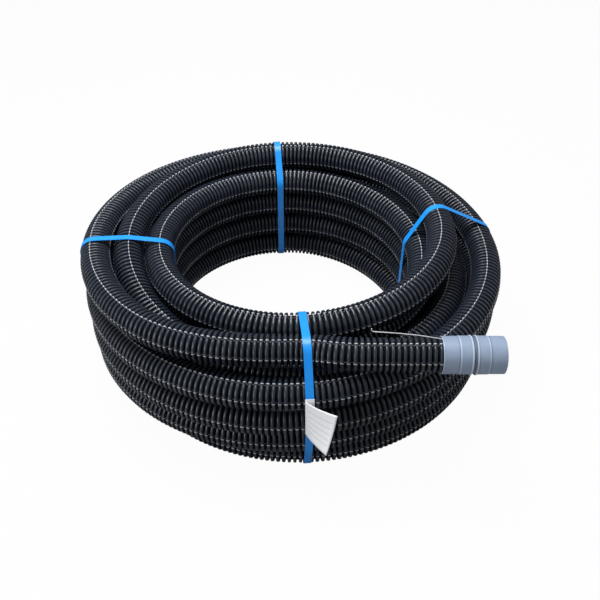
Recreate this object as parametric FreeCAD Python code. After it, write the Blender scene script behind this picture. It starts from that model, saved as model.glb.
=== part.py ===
import FreeCAD, Part
import math
import os

# Coil of black corrugated plastic hose, tied with four plastic straps, with a
# double-socket coupling on its free end, a draw wire and a paper flag label.
# Millimetres, Z up.  The origin is on the floor in the middle of the coil's eye,
# and X runs along the free end, toward the open socket.
# Azimuth 0 is the front (-Y), 90 the right (+X): the hose is laid that way round.

V = FreeCAD.Vector

# hose
hose_od = 50.0
coil_wall = 1.4            # plain wall with the weight of the ribbed one
valley_depth = 4.0         # crest to valley of the corrugation
rib_wall = 0.8
rib_pitch = 8.45
crest_share = 0.52         # share of a pitch taken by the crest's flat
flank_share = 0.08         # share of a pitch taken by each flank

eye_radius = 234.0         # centre line of the eye's wall

# strapping
strap_width = 12.0
strap_thickness = 0.7
strap_clearance = 0.3
lap_length = 35.0          # welded overlap of a strap's two ends
floor_z = strap_thickness + strap_clearance + hose_od / 2

# coupling, a double socket
socket_clearance = 0.3
coupling_wall = 1.9
coupling_length = 89.0
stop_width = 3.0
stop_height = 3.2
end_gap = 0.5              # hose end to the middle stop
band_share, band_height = 0.26, 0.4      # where the raised band starts, as a share of the length
lip_width, lip_height = 2.2, 1.0
groove_width = 5.0
coupling_chamfer = 1.0

# seal ring in the hose's valley beside its end
seal_clearance = 0.1

# free end
straight_from_x = 110.0    # from here the hose runs straight, along X
coil_straight = hose_od    # each end of the coil's tube runs straight for a diameter
coupling_rim_x = 215.5     # where the photo shows the coupling's rim

# label
label_thickness = 0.4
wrap_margin = 0.11 * hose_od   # wrap's end to where the strap touches a tube
wrap_gap = 0.3
flag_drop = 7.2            # flag's lower corner below the end of the strap's run
label_read = 154.0         # height of the label's middle, read with the lay
flag_width = 52.0
flag_height = 66.0
flag_angle = 38.0          # off the coil's face, as it rests
hinge_gap = 0.35

# draw wire
wire_d = 1.5
wire_gap = 0.3
wire_angle = 112.0         # place on the hose at the rim, from the outer side over the top
wire_length = 93.0
wire_lift = 7.0            # its tip stands this much further off the hose
hook_rise = 5.0

strap_azimuths = {"strap_front": 4.8, "strap_right": 98.5,
                  "strap_back": 186.3, "strap_left": 277.0}

# The lay of the hose: turn, radius and height of its centre line, as read off the
# coil for a hose of lay_od round an eye of lay_eye.  It winds up the eye's wall,
# crosses at the right, goes down between the two outer columns and comes up again
# on the outside.
lay_od, lay_eye, lay_floor = 50.0, 234.0, 26.0
lay_read = [
    # wall of the eye
    (0.29, 231.4, 26), (0.5, 244, 38), (0.75, 238, 52),
    (1.0, 221, 64.5), (1.25, 236, 77), (1.5, 244, 89), (1.75, 236, 103),
    (2.0, 230, 115.5), (2.25, 233, 128), (2.5, 244, 140), (2.75, 235, 154),
    (3.0, 233, 166), (3.25, 233, 179), (3.5, 238, 191), (3.75, 230, 205),
    # over its top, and down between the columns
    (4.0, 239, 217.5), (4.25, 262, 232), (4.5, 271, 234), (4.75, 281, 219), (4.875, 283, 189),
    (5.0, 284.5, 165), (5.25, 289, 155), (5.5, 296, 140), (5.75, 286, 131),
    (6.0, 284, 114), (6.25, 286, 100), (6.5, 296, 87), (6.75, 285, 80),
    (7.0, 272, 63.5), (7.25, 284, 47), (7.5, 296, 26), (7.75, 292, 26),
    # outer column
    (8.0, 308, 26), (8.25, 334, 35), (8.5, 347, 38), (8.75, 336, 54),
    (9.0, 326, 76), (9.25, 336, 86), (9.5, 347, 89), (9.75, 336, 105),
    (10.0, 337, 126), (10.25, 339, 137.5), (10.5, 347, 140), (10.75, 337, 157),
    (11.0, 334.5, 177.5), (11.25, 342, 189), (11.5, 344, 191), (11.75, 337, 217), (11.875, 327, 225),
    # drawn in over the middle column, where the free end leaves
    (12.0, 295, 227)]
free_read = (310.0, 232.5)     # radius and height of the free end


def placed(radius, height):
    """A read radius and height, moved for this hose and this eye."""
    grow = hose_od / lay_od
    return eye_radius + (radius - lay_eye) * grow, floor_z + (height - lay_floor) * grow


lay = [(turn,) + placed(radius, height) for turn, radius, height in lay_read]
free_y, free_z = -placed(*free_read)[0], placed(*free_read)[1]


def slope(index, column):
    """Rate of a lay column per turn, level where the column turns back."""
    if index == 0 or (index == len(lay) - 1 and column == 1):
        return 0.0
    if index == len(lay) - 1:
        return (lay[index][column] - lay[index - 1][column]) / (lay[index][0] - lay[index - 1][0])
    before = (lay[index][column] - lay[index - 1][column]) / (lay[index][0] - lay[index - 1][0])
    after = (lay[index + 1][column] - lay[index][column]) / (lay[index + 1][0] - lay[index][0])
    if before * after <= 0:
        return 0.0
    return 2 * before * after / (before + after)


def lay_point(index):
    turn, radius, height = lay[index]
    a = 2 * math.pi * turn
    return V(radius * math.sin(a), -radius * math.cos(a), height)


def lay_tangent(index):
    turn, radius, height = lay[index]
    a = 2 * math.pi * turn
    grow = slope(index, 1)
    t = V(grow * math.sin(a) + 2 * math.pi * radius * math.cos(a),
          -grow * math.cos(a) + 2 * math.pi * radius * math.sin(a),
          slope(index, 2))
    return t.normalize()


def biarc_joint(p0, t0, p1, t1):
    """Point where two tangent arcs from p0 to p1 meet."""
    v = p1 - p0
    a = 2 * (1 - t0.dot(t1))
    b = 2 * v.dot(t0 + t1)
    c = -v.dot(v)
    d = (-b + math.sqrt(b * b - 4 * a * c)) / (2 * a) if a > 1e-9 else -c / b
    return (p0 + t0 * d + p1 - t1 * d) * 0.5


def arc_points(p0, t0, p1, count):
    """Points on the arc that leaves p0 along t0 and ends in p1."""
    v = p1 - p0
    side = v - t0 * v.dot(t0)
    off = side.Length
    side = side.normalize()
    radius = v.dot(v) / (2 * off)
    sweep = 2 * math.atan2(off, v.dot(t0))
    return radius, [p0 + t0 * (radius * math.sin(sweep * i / count))
                    + side * (radius * (1 - math.cos(sweep * i / count)))
                    for i in range(count + 1)]


# centre line of the coil: a pair of arcs from each point of the lay to the next
arcs = []
knots = [(lay_point(index), lay_tangent(index)) for index in range(len(lay))]
knots.append((V(straight_from_x, free_y, free_z), V(1, 0, 0)))
for (p0, t0), (p1, t1) in zip(knots, knots[1:]):
    joint = biarc_joint(p0, t0, p1, t1)
    chord = joint - p0
    t_joint = (chord * (2 * chord.dot(t0) / chord.dot(chord)) - t0).normalize()
    arcs.append((p0, t0, joint))
    arcs.append((joint, t_joint, p1))
coil_start = knots[0][0] - knots[0][1] * coil_straight
coil_end_x = straight_from_x + coil_straight
coil_end = V(coil_end_x, free_y, free_z)
path_edges = [Part.LineSegment(coil_start, knots[0][0]).toShape()]
centre_points, radii = [], []
for i in range(8):
    centre_points.append(coil_start + knots[0][1] * (coil_straight * i / 8))
for p0, t0, p1 in arcs:
    radius, pts = arc_points(p0, t0, p1, 24)
    radii.append(radius)
    path_edges.append(Part.Arc(pts[0], pts[12], pts[24]).toShape())
    centre_points += pts[:-1]
path_edges.append(Part.LineSegment(knots[-1][0], coil_end).toShape())
coil_path = Part.Wire(path_edges)
print("coil centre line %.0f mm, tightest arc %.0f mm" % (coil_path.Length, min(radii)))

# least gap of the coil to itself, on points of the centre line
step_mm = coil_path.Length / len(centre_points)
straight_count = int((coupling_rim_x + coupling_length / 2 - straight_from_x) / step_mm)
for i in range(straight_count + 1):
    centre_points.append(V(straight_from_x + i * step_mm, free_y, free_z))
run_to = [0.0]             # length along the centre line to each point
for p, q in zip(centre_points, centre_points[1:]):
    run_to.append(run_to[-1] + (q - p).Length)
cell = hose_od * 1.2
cells = {}
for i, p in enumerate(centre_points):
    cells.setdefault((int(p.x // cell), int(p.y // cell), int(p.z // cell)), []).append(i)


def segment_distance(a0, a1, b0, b1):
    """Least distance of two short straight pieces of the centre line."""
    u, v, w = a1 - a0, b1 - b0, a0 - b0
    a, b, c, d, e = u.dot(u), u.dot(v), v.dot(v), u.dot(w), v.dot(w)
    det = a * c - b * b
    s = min(1.0, max(0.0, (b * e - c * d) / det)) if det > 1e-9 else 0.0
    t = min(1.0, max(0.0, (b * s + e) / c))
    s = min(1.0, max(0.0, (b * t - d) / a))
    return (w + u * s - v * t).Length


least, where = 1e9, None
for i in range(len(centre_points) - 1):
    p = centre_points[i]
    kx, ky, kz = int(p.x // cell), int(p.y // cell), int(p.z // cell)
    for dx in (-1, 0, 1):
        for dy in (-1, 0, 1):
            for dz in (-1, 0, 1):
                for j in cells.get((kx + dx, ky + dy, kz + dz), ()):
                    if run_to[j] - run_to[i] > 4 * hose_od and j + 1 < len(centre_points):
                        gap = segment_distance(p, centre_points[i + 1],
                                               centre_points[j], centre_points[j + 1]) - hose_od
                        if gap < least:
                            least, where = gap, (i, j)
print("least gap of the hose to itself %.2f mm" % least, where)


def ring_face(centre, axis, outer, inner):
    big = Part.Face(Part.Wire([Part.Circle(centre, axis, outer).toShape()]))
    small = Part.Face(Part.Wire([Part.Circle(centre, axis, inner).toShape()]))
    return big.cut(small).Faces[0]


def swept_tube(path, start, direction, end, end_direction, outer, inner):
    """Hollow tube: an outer and an inner skin along one path, and two end rings."""
    skins = []
    for radius in (outer, inner):
        profile = Part.Wire([Part.Circle(start, direction, radius).toShape()])
        skins += path.makePipeShell([profile], False, False).Faces
    skins.append(ring_face(start, direction, outer, inner))
    skins.append(ring_face(end, end_direction, outer, inner))
    shell = Part.makeShell(skins)
    shell.sewShape()
    solid = Part.makeSolid(shell.Shells[0])
    if solid.Volume < 0:
        solid.reverse()
    return solid


nodes = {}
crest_r = hose_od / 2
coil_bore = crest_r - coil_wall
nodes["hose_coil"] = swept_tube(coil_path, coil_start, knots[0][1], coil_end, V(1, 0, 0),
                                crest_r, coil_bore)
print("coil volume over section times length %.4f"
      % (nodes["hose_coil"].Volume / (math.pi * (crest_r ** 2 - coil_bore ** 2) * coil_path.Length)))

# free end: ribs as a ruled loft through four circles each, on X
hose_end_x = coupling_rim_x + coupling_length / 2 - stop_width / 2 - end_gap
free_start_x = coil_end_x
rib_count = int((hose_end_x - free_start_x - rib_pitch / 2) / rib_pitch)
valley_r = crest_r - valley_depth
lead = (hose_end_x - free_start_x - rib_count * rib_pitch) / 2
first_crest_x = free_start_x + lead


def rib_profile(outset):
    """Stations (x, radius) of the corrugation, moved inward by outset."""
    flat = crest_share * rib_pitch
    flank = flank_share * rib_pitch
    low = rib_pitch - flat - 2 * flank
    stations = [(free_start_x, crest_r - outset)]
    for n in range(rib_count):
        x = first_crest_x + n * rib_pitch
        stations += [(x, crest_r - outset), (x + flank, valley_r - outset),
                     (x + flank + low, valley_r - outset), (x + 2 * flank + low, crest_r - outset)]
    stations.append((hose_end_x, crest_r - outset))
    return stations


def loft_on_x(stations, y, z):
    circles = [Part.Wire([Part.Circle(V(x, y, z), V(1, 0, 0), r).toShape()]) for x, r in stations]
    return Part.makeLoft(circles, True, True)


bore_r = valley_r - rib_wall
free_end = loft_on_x(rib_profile(0.0), free_y, free_z)
free_end = free_end.cut(Part.makeCylinder(bore_r, hose_end_x - free_start_x,
                                          V(free_start_x, free_y, free_z), V(1, 0, 0)))
nodes["hose_free_end"] = free_end
print("free end: %d ribs" % rib_count)

# coupling
socket_r = crest_r + socket_clearance
coupling_r = socket_r + coupling_wall
mid = coupling_length / 2
band_from = band_share * coupling_length
band_to = mid - groove_width / 2 - lip_width
half = [(0.0, coupling_r - coupling_chamfer), (coupling_chamfer, coupling_r),
        (band_from, coupling_r), (band_from + band_height, coupling_r + band_height),
        (band_to, coupling_r + band_height),
        (band_to, coupling_r + lip_height),
        (mid - groove_width / 2, coupling_r + lip_height),
        (mid - groove_width / 2, coupling_r)]
outline = half + [(coupling_length - x, r) for x, r in reversed(half)]
outline += [(coupling_length, socket_r + coupling_chamfer / 2), (coupling_length - coupling_chamfer, socket_r),
            (mid + stop_width / 2, socket_r), (mid + stop_width / 2, socket_r - stop_height),
            (mid - stop_width / 2, socket_r - stop_height), (mid - stop_width / 2, socket_r),
            (coupling_chamfer, socket_r), (0.0, socket_r + coupling_chamfer / 2)]
corners = [V(coupling_rim_x + x, free_y, free_z + r) for x, r in outline]
coupling_face = Part.Face(Part.makePolygon(corners + corners[:1]))
nodes["coupling_sleeve"] = coupling_face.revolve(V(coupling_rim_x, free_y, free_z), V(1, 0, 0), 360)

# seal ring in the last whole valley
flat = crest_share * rib_pitch
flank = flank_share * rib_pitch
low = rib_pitch - flat - 2 * flank
seal_x = first_crest_x + (rib_count - 1) * rib_pitch + flank
seal_a, seal_b = seal_x + seal_clearance, seal_x + low - seal_clearance
seal_low = valley_r + seal_clearance
seal_high = socket_r - seal_clearance
corners = [V(seal_a, free_y, free_z + seal_low), V(seal_b, free_y, free_z + seal_low),
           V(seal_b, free_y, free_z + crest_r - seal_clearance),
           V((seal_a + seal_b) / 2 + 0.6, free_y, free_z + seal_high),
           V((seal_a + seal_b) / 2 - 0.6, free_y, free_z + seal_high),
           V(seal_a, free_y, free_z + crest_r - seal_clearance)]
nodes["seal_ring"] = Part.Face(Part.makePolygon(corners + corners[:1])).revolve(
    V(seal_x, free_y, free_z), V(1, 0, 0), 360)

# straps: a tight band round every tube that passes at that azimuth
all_points = [V(p.x, p.y, p.z) for p in centre_points]


def crossings(azimuth, offset):
    """(radius, height, margin) of each tube in a plane that far beside the azimuth's."""
    a = math.radians(azimuth)
    radial = V(math.sin(a), -math.cos(a), 0)
    along = V(math.cos(a), math.sin(a), 0)
    found = []
    for i in range(len(all_points) - 1):
        p, q = all_points[i], all_points[i + 1]
        dp, dq = p.dot(along) - offset, q.dot(along) - offset
        if dp < 0 <= dq and p.dot(radial) > 0:
            k = dp / (dp - dq)
            c = p + (q - p) * k
            across = (q - p).normalize().dot(along)
            found.append((c.dot(radial), c.z, strap_clearance + crest_r * (1 / across - 1)))
    return found


def hull_circles(circles):
    """Circles on the convex outline, in order, each with its two tangent points."""
    count = 1440
    order = []
    for i in range(count):
        a = 2 * math.pi * i / count
        best = max(range(len(circles)),
                   key=lambda n: circles[n][0] * math.cos(a) + circles[n][1] * math.sin(a) + circles[n][2])
        if not order or order[-1] != best:
            order.append(best)
    if len(order) > 1 and order[0] == order[-1]:
        order.pop()
    out = []
    for k, n in enumerate(order):
        m = order[(k + 1) % len(order)]
        (x0, y0, r0), (x1, y1, r1) = circles[n], circles[m]
        dx, dy = x1 - x0, y1 - y0
        dist = math.hypot(dx, dy)
        # outward normal shared by both circles on their outer tangent line
        base = math.atan2(dy, dx)
        turn = base - math.acos((r0 - r1) / dist)
        out.append((n, m, turn))
    return out


def band(circles, grow):
    """Closed outline of straight runs and arcs round the circles."""
    tangents = hull_circles(circles)
    edges = []
    for k, (n, m, angle) in enumerate(tangents):
        x0, y0, r0 = circles[n]
        x1, y1, r1 = circles[m]
        a = (x0 + (r0 + grow) * math.cos(angle), y0 + (r0 + grow) * math.sin(angle))
        b = (x1 + (r1 + grow) * math.cos(angle), y1 + (r1 + grow) * math.sin(angle))
        edges.append(("line", a, b))
        after = tangents[(k + 1) % len(tangents)][2]
        while after < angle:
            after += 2 * math.pi
        half_way = (angle + after) / 2
        c = (x1 + (r1 + grow) * math.cos(half_way), y1 + (r1 + grow) * math.sin(half_way))
        d = (x1 + (r1 + grow) * math.cos(after), y1 + (r1 + grow) * math.sin(after))
        edges.append(("arc", b, c, d))
    return edges


def strap(azimuth, lap_side):
    """Strap and its welded lap, as one solid."""
    a = math.radians(azimuth)
    radial = V(math.sin(a), -math.cos(a), 0)
    along = V(math.cos(a), math.sin(a), 0)

    def at(u, w):
        return radial * u + V(0, 0, w) - along * (strap_width / 2)

    circles = []
    for offset in (-strap_width / 2, strap_width / 2):
        for u, w, margin in crossings(azimuth, offset):
            circles.append((u, w, min(crest_r + margin, w - strap_thickness)))

    def wire(grow):
        made = []
        for edge in band(circles, grow):
            if edge[0] == "line":
                made.append(Part.LineSegment(at(*edge[1]), at(*edge[2])).toShape())
            else:
                made.append(Part.Arc(at(*edge[1]), at(*edge[2]), at(*edge[3])).toShape())
        return Part.Wire(made)

    outer, inner = wire(strap_thickness), wire(0.0)
    face = Part.Face(outer).cut(Part.Face(inner)).Faces[0]
    solid = face.extrude(along * strap_width)
    # the lap lies on the longest run that faces the named side
    best = None
    for edge in band(circles, strap_thickness):
        if edge[0] == "line":
            (u0, w0), (u1, w1) = edge[1], edge[2]
            run = math.hypot(u1 - u0, w1 - w0)
            facing = (w1 - w0) / run if run > 0 else 0
            if facing * lap_side > 0.8 and (best is None or run > best[0]):
                best = (run, u0, w0, u1, w1)
    length = min(lap_length, best[0] * 0.9)
    run, u0, w0, u1, w1 = best
    du, dw = (u1 - u0) / run, (w1 - w0) / run
    mu, mw = (u0 + u1) / 2 - du * length / 2, (w0 + w1) / 2 - dw * length / 2
    nu, nw = dw, -du
    lap = [at(mu, mw), at(mu + du * length, mw + dw * length),
           at(mu + du * length + nu * strap_thickness, mw + dw * length + nw * strap_thickness),
           at(mu + nu * strap_thickness, mw + nw * strap_thickness)]
    lap_solid = Part.Face(Part.makePolygon(lap + lap[:1])).extrude(along * strap_width)
    return solid.fuse(lap_solid).removeSplitter(), circles


strap_circles = {}
for name, azimuth in strap_azimuths.items():
    # the front strap's lap is on the eye's side, out of sight; the others' outside
    shape, circles = strap(azimuth, -1 if name == "strap_front" else 1)
    nodes[name] = shape.Solids[0] if shape.ShapeType == "Compound" else shape
    strap_circles[name] = circles
    print(name, "%d circles, bottom %.2f mm" % (len(circles), nodes[name].BoundBox.ZMin))

# label: a wrap round the front strap's outer run, and a flag that folds on its edge
a = math.radians(strap_azimuths["strap_front"])
radial = V(math.sin(a), -math.cos(a), 0)
along = V(math.cos(a), math.sin(a), 0)
label_middle = placed(lay_eye, label_read)[1]
run = None
for edge in band(strap_circles["strap_front"], strap_thickness):
    if edge[0] == "line":
        (u0, w0), (u1, w1) = edge[1], edge[2]
        upright = abs(w1 - w0) > max(abs(u1 - u0), hose_od / 2)
        if upright and u0 > eye_radius + hose_od and (
                run is None or abs((w0 + w1) / 2 - label_middle) < abs((run[1] + run[3]) / 2 - label_middle)):
            run = (u0, w0, u1, w1)
print("label run", ["%.1f" % c for c in run])
u0, w0, u1, w1 = run
run_length = math.hypot(u1 - u0, w1 - w0)
wrap_height = run_length - 2 * wrap_margin
up_u, up_w = (u1 - u0) / run_length, (w1 - w0) / run_length
out_u, out_w = up_w, -up_u
run_up = radial * up_u + V(0, 0, up_w)
run_out = radial * out_u + V(0, 0, out_w)
run_low = radial * u0 + V(0, 0, w0)
run_base = run_low + run_up * wrap_margin


def slab(origin, x_dir, x_size, y_dir, y_size, z_dir, z_size):
    pts = [origin, origin + x_dir * x_size, origin + x_dir * x_size + y_dir * y_size, origin + y_dir * y_size]
    return Part.Face(Part.makePolygon(pts + pts[:1])).extrude(z_dir * z_size)


wrap_in = strap_width / 2 + wrap_gap
wrap_slack = 0.06
wrap_depth = strap_thickness + 2 * wrap_slack
outer_box = slab(run_base - along * (wrap_in + label_thickness) + run_out * (label_thickness + wrap_slack),
                 along, 2 * (wrap_in + label_thickness), run_up, wrap_height,
                 run_out * -1, wrap_depth + 2 * label_thickness)
inner_box = slab(run_base - along * wrap_in + run_out * wrap_slack - run_up,
                 along, 2 * wrap_in, run_up, wrap_height + 2, run_out * -1, wrap_depth)
nodes["label_wrap"] = outer_box.cut(inner_box)

hinge_point = (run_low - run_up * flag_drop - along * (wrap_in + label_thickness)
               + run_out * (label_thickness + wrap_slack + hinge_gap))
swing = math.radians(flag_angle)
flag_dir = along * math.cos(swing) + run_out * math.sin(swing)
flag_side = run_out * math.cos(swing) - along * math.sin(swing)
nodes["label_flag"] = slab(hinge_point - flag_side * (label_thickness / 2),
                           flag_dir, flag_width, run_up, flag_height, flag_side, label_thickness)
print("label hinge at (%.3f, %.3f, %.3f) along (%.5f, %.5f, %.5f)"
      % (hinge_point.x, hinge_point.y, hinge_point.z, run_up.x, run_up.y, run_up.z))

# draw wire: from the coupling's rim back along the hose, its tip bent up
wire_r = crest_r + wire_gap + wire_d / 2
place = math.radians(wire_angle)
wire_y = free_y - wire_r * math.cos(place)
wire_z = free_z + wire_r * math.sin(place)
start = V(coupling_rim_x - wire_gap, wire_y, wire_z)
bend = V(start.x - wire_length, wire_y + wire_lift / 2, wire_z + wire_lift)
direction = (bend - start).normalize()
hook_r = 3.0
up = V(0, 0, 1)
side = (up - direction * up.dot(direction)).normalize()
arc_mid = bend + direction * (hook_r * math.sin(math.radians(40))) + side * (hook_r * (1 - math.cos(math.radians(40))))
arc_end = bend + direction * (hook_r * math.sin(math.radians(80))) + side * (hook_r * (1 - math.cos(math.radians(80))))
tip_dir = (direction * math.cos(math.radians(80)) + side * math.sin(math.radians(80))).normalize()
wire_path = Part.Wire([Part.LineSegment(start, bend).toShape(),
                       Part.Arc(bend, arc_mid, arc_end).toShape(),
                       Part.LineSegment(arc_end, arc_end + tip_dir * (hook_rise - hook_r)).toShape()])
wire_profile = Part.Wire([Part.Circle(start, direction, wire_d / 2).toShape()])
nodes["draw_wire"] = wire_path.makePipeShell([wire_profile], True, False)

os.makedirs("parts", exist_ok=True)
for name, shape in nodes.items():
    if shape.ShapeType != "Solid":
        shape = shape.Solids[0]
    print("%-16s valid %s  volume %.0f mm3  solids %d" % (name, shape.isValid(), shape.Volume, len(shape.Solids)))
    shape.exportStep("parts/" + name + ".step")
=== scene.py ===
import math
import bmesh
import bpy
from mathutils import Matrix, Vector


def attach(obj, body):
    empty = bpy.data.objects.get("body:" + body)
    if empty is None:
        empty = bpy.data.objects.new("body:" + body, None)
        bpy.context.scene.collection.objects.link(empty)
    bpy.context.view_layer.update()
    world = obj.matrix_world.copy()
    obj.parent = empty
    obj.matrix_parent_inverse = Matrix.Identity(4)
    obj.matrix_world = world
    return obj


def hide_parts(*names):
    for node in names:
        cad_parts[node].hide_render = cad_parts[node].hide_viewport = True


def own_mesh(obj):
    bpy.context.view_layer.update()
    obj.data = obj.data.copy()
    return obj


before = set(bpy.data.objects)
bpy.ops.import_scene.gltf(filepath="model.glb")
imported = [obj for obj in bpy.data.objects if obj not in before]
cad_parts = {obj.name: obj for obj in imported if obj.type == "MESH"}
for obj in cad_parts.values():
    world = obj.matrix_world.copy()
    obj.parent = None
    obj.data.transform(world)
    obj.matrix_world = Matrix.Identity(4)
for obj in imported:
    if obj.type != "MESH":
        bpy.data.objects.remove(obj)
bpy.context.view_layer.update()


def srgb(*screen):
    # linear colour from screen values of 0 to 255, by the sRGB curve
    linear = [c / 255 / 12.92 if c <= 10.3 else ((c / 255 + 0.055) / 1.055) ** 2.4 for c in screen]
    return tuple(linear) + (1.0,)


# route of the hose, in metres
routeSizes = {
    "hoseDiameter": 0.050,
    "pointsPerTurn": 24,
    "startStraight": 0.050,
    "freeY": -0.310,
    "freeZ": 0.2325,
    "straightFromX": 0.110,
    "leaveSteps": ((0.25, 0.0), (0.75, 1.0), (1.25, 1.0)),   # shares of the way along X and of the step aside
    "freeX": (0.175, 0.215, 0.258),                          # the straight end's points, the last at its cut
    "couplingRimX": 0.2155,
}
# turn, radius and height, the same lay as the solids'
hoseLay = [
    (0.29, 0.2314, 0.026), (0.5, 0.244, 0.038), (0.75, 0.238, 0.052),
    (1.0, 0.221, 0.0645), (1.25, 0.236, 0.077), (1.5, 0.244, 0.089), (1.75, 0.236, 0.103),
    (2.0, 0.230, 0.1155), (2.25, 0.233, 0.128), (2.5, 0.244, 0.140), (2.75, 0.235, 0.154),
    (3.0, 0.233, 0.166), (3.25, 0.233, 0.179), (3.5, 0.238, 0.191), (3.75, 0.230, 0.205),
    (4.0, 0.239, 0.2175), (4.25, 0.262, 0.232), (4.5, 0.271, 0.234), (4.75, 0.281, 0.219), (4.875, 0.283, 0.189),
    (5.0, 0.2845, 0.165), (5.25, 0.289, 0.155), (5.5, 0.296, 0.140), (5.75, 0.286, 0.131),
    (6.0, 0.284, 0.114), (6.25, 0.286, 0.100), (6.5, 0.296, 0.087), (6.75, 0.285, 0.080),
    (7.0, 0.272, 0.0635), (7.25, 0.284, 0.047), (7.5, 0.296, 0.026), (7.75, 0.292, 0.026),
    (8.0, 0.308, 0.026), (8.25, 0.334, 0.035), (8.5, 0.347, 0.038), (8.75, 0.336, 0.054),
    (9.0, 0.326, 0.076), (9.25, 0.336, 0.086), (9.5, 0.347, 0.089), (9.75, 0.336, 0.105),
    (10.0, 0.337, 0.126), (10.25, 0.339, 0.1375), (10.5, 0.347, 0.140), (10.75, 0.337, 0.157),
    (11.0, 0.3345, 0.1775), (11.25, 0.342, 0.189), (11.5, 0.344, 0.191), (11.75, 0.337, 0.217), (11.875, 0.327, 0.225),
    (12.0, 0.295, 0.227)]


def laySlope(index, column):
    # change per turn, level where the column turns back
    if index == 0 or (index == len(hoseLay) - 1 and column == 1):
        return 0.0
    here, before = hoseLay[index], hoseLay[index - 1]
    down = (here[column] - before[column]) / (here[0] - before[0])
    if index == len(hoseLay) - 1:
        return down
    after = hoseLay[index + 1]
    up = (after[column] - here[column]) / (after[0] - here[0])
    return 0.0 if down * up <= 0 else 2 * down * up / (down + up)


def layAt(turn):
    index = 0
    while index < len(hoseLay) - 2 and hoseLay[index + 1][0] < turn:
        index += 1
    first, second = hoseLay[index], hoseLay[index + 1]
    span = second[0] - first[0]
    k = (turn - first[0]) / span
    out = []
    for column in (1, 2):
        a, b = first[column], second[column]
        da, db = laySlope(index, column) * span, laySlope(index + 1, column) * span
        out.append((2 * k**3 - 3 * k**2 + 1) * a + (k**3 - 2 * k**2 + k) * da
                   + (3 * k**2 - 2 * k**3) * b + (k**3 - k**2) * db)
    return out


def routePoints():
    # control points, from the free end inside the coupling to the bare end in the eye
    r = routeSizes
    first, last = hoseLay[0][0], hoseLay[-1][0]
    count = round((last - first) * r["pointsPerTurn"])
    step = (last - first) / count
    grow = 1 / math.cos(math.pi * step)          # the line passes inside its points
    points = []
    a = 2 * math.pi * first
    startAt = Vector((hoseLay[0][1] * math.sin(a), -hoseLay[0][1] * math.cos(a), hoseLay[0][2]))
    startWay = Vector((math.cos(a), math.sin(a), 0.0))
    half = math.pi * step * hoseLay[0][1]
    points.append(startAt - startWay * r["startStraight"])
    points.append(startAt - startWay * half)
    for k in range(count):
        turn = first + (k + 0.5) * step
        radius, height = layAt(turn)
        a = 2 * math.pi * turn
        points.append(Vector((radius * grow * math.sin(a), -radius * grow * math.cos(a), height)))
    # out of the last turn by a flat S, then straight along X
    leaveY, leaveZ = -hoseLay[-1][1], hoseLay[-1][2]
    for x, share in r["leaveSteps"]:
        points.append(Vector((r["straightFromX"] * x, leaveY + (r["freeY"] - leaveY) * share,
                              leaveZ + (r["freeZ"] - leaveZ) * share)))
    for x in r["freeX"]:
        points.append(Vector((x, r["freeY"], r["freeZ"])))
    return points[::-1]


def splineObject(name, points, resolution):
    curve = bpy.data.curves.new(name, "CURVE")
    curve.dimensions = "3D"
    curve.resolution_u = resolution
    spline = curve.splines.new("NURBS")
    spline.points.add(len(points) - 1)
    for slot, p in zip(spline.points, points):
        slot.co = (p[0], p[1], p[2], 1.0)
    spline.order_u = 3
    spline.use_endpoint_u = True
    made = bpy.data.objects.new(name, curve)
    bpy.context.scene.collection.objects.link(made)
    return made


def splineLine(curveObject):
    # points of a curve's own line, in order
    graph = bpy.context.evaluated_depsgraph_get()
    mesh = bpy.data.meshes.new_from_object(curveObject.evaluated_get(graph))
    line = [v.co.copy() for v in mesh.vertices]
    bpy.data.meshes.remove(mesh)
    return line


def linkMesh(name, mesh):
    made = bpy.data.objects.new(name, mesh)
    bpy.context.scene.collection.objects.link(made)
    return made


def smooth(mesh, angle=None):
    for polygon in mesh.polygons:
        polygon.use_smooth = True
    if angle is not None:
        mesh.set_sharp_from_angle(angle=math.radians(angle))


# materials
def newGroup(name, inputs, outputs):
    group = bpy.data.node_groups.new(name, "ShaderNodeTree")
    for label, kind, value in inputs:
        socket = group.interface.new_socket(name=label, in_out="INPUT", socket_type=kind)
        socket.default_value = value
    for label, kind in outputs:
        group.interface.new_socket(name=label, in_out="OUTPUT", socket_type=kind)
    return group, group.nodes.new("NodeGroupInput"), group.nodes.new("NodeGroupOutput")


def link(tree, a, b):
    tree.links.new(a, b)


def feed(tree, socket, value):
    # a link from another socket, or a constant
    if isinstance(value, bpy.types.NodeSocket):
        link(tree, value, socket)
    else:
        socket.default_value = value


def mathNode(tree, operation, a, b=None, clamp=False):
    node = tree.nodes.new("ShaderNodeMath")
    node.operation = operation
    node.use_clamp = clamp
    feed(tree, node.inputs[0], a)
    if b is not None:
        feed(tree, node.inputs[1], b)
    return node.outputs[0]


def noiseNode(tree, vector, scale, detail, roughness):
    node = tree.nodes.new("ShaderNodeTexNoise")
    node.inputs["Detail"].default_value = detail
    node.inputs["Roughness"].default_value = roughness
    feed(tree, node.inputs["Scale"], scale)
    link(tree, vector, node.inputs["Vector"])
    return node.outputs["Fac"]


def objectCoord(tree):
    return tree.nodes.new("ShaderNodeTexCoord").outputs["Object"]


def markNode(tree, name):
    # a value stored on the mesh
    node = tree.nodes.new("ShaderNodeAttribute")
    node.attribute_name = name
    return node.outputs["Fac"]


def mixColor(tree, factor, a, b):
    node = tree.nodes.new("ShaderNodeMix")
    node.data_type = "RGBA"
    link(tree, factor, node.inputs["Factor"])
    feed(tree, node.inputs[6], a)
    feed(tree, node.inputs[7], b)
    return node.outputs[2]


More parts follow.
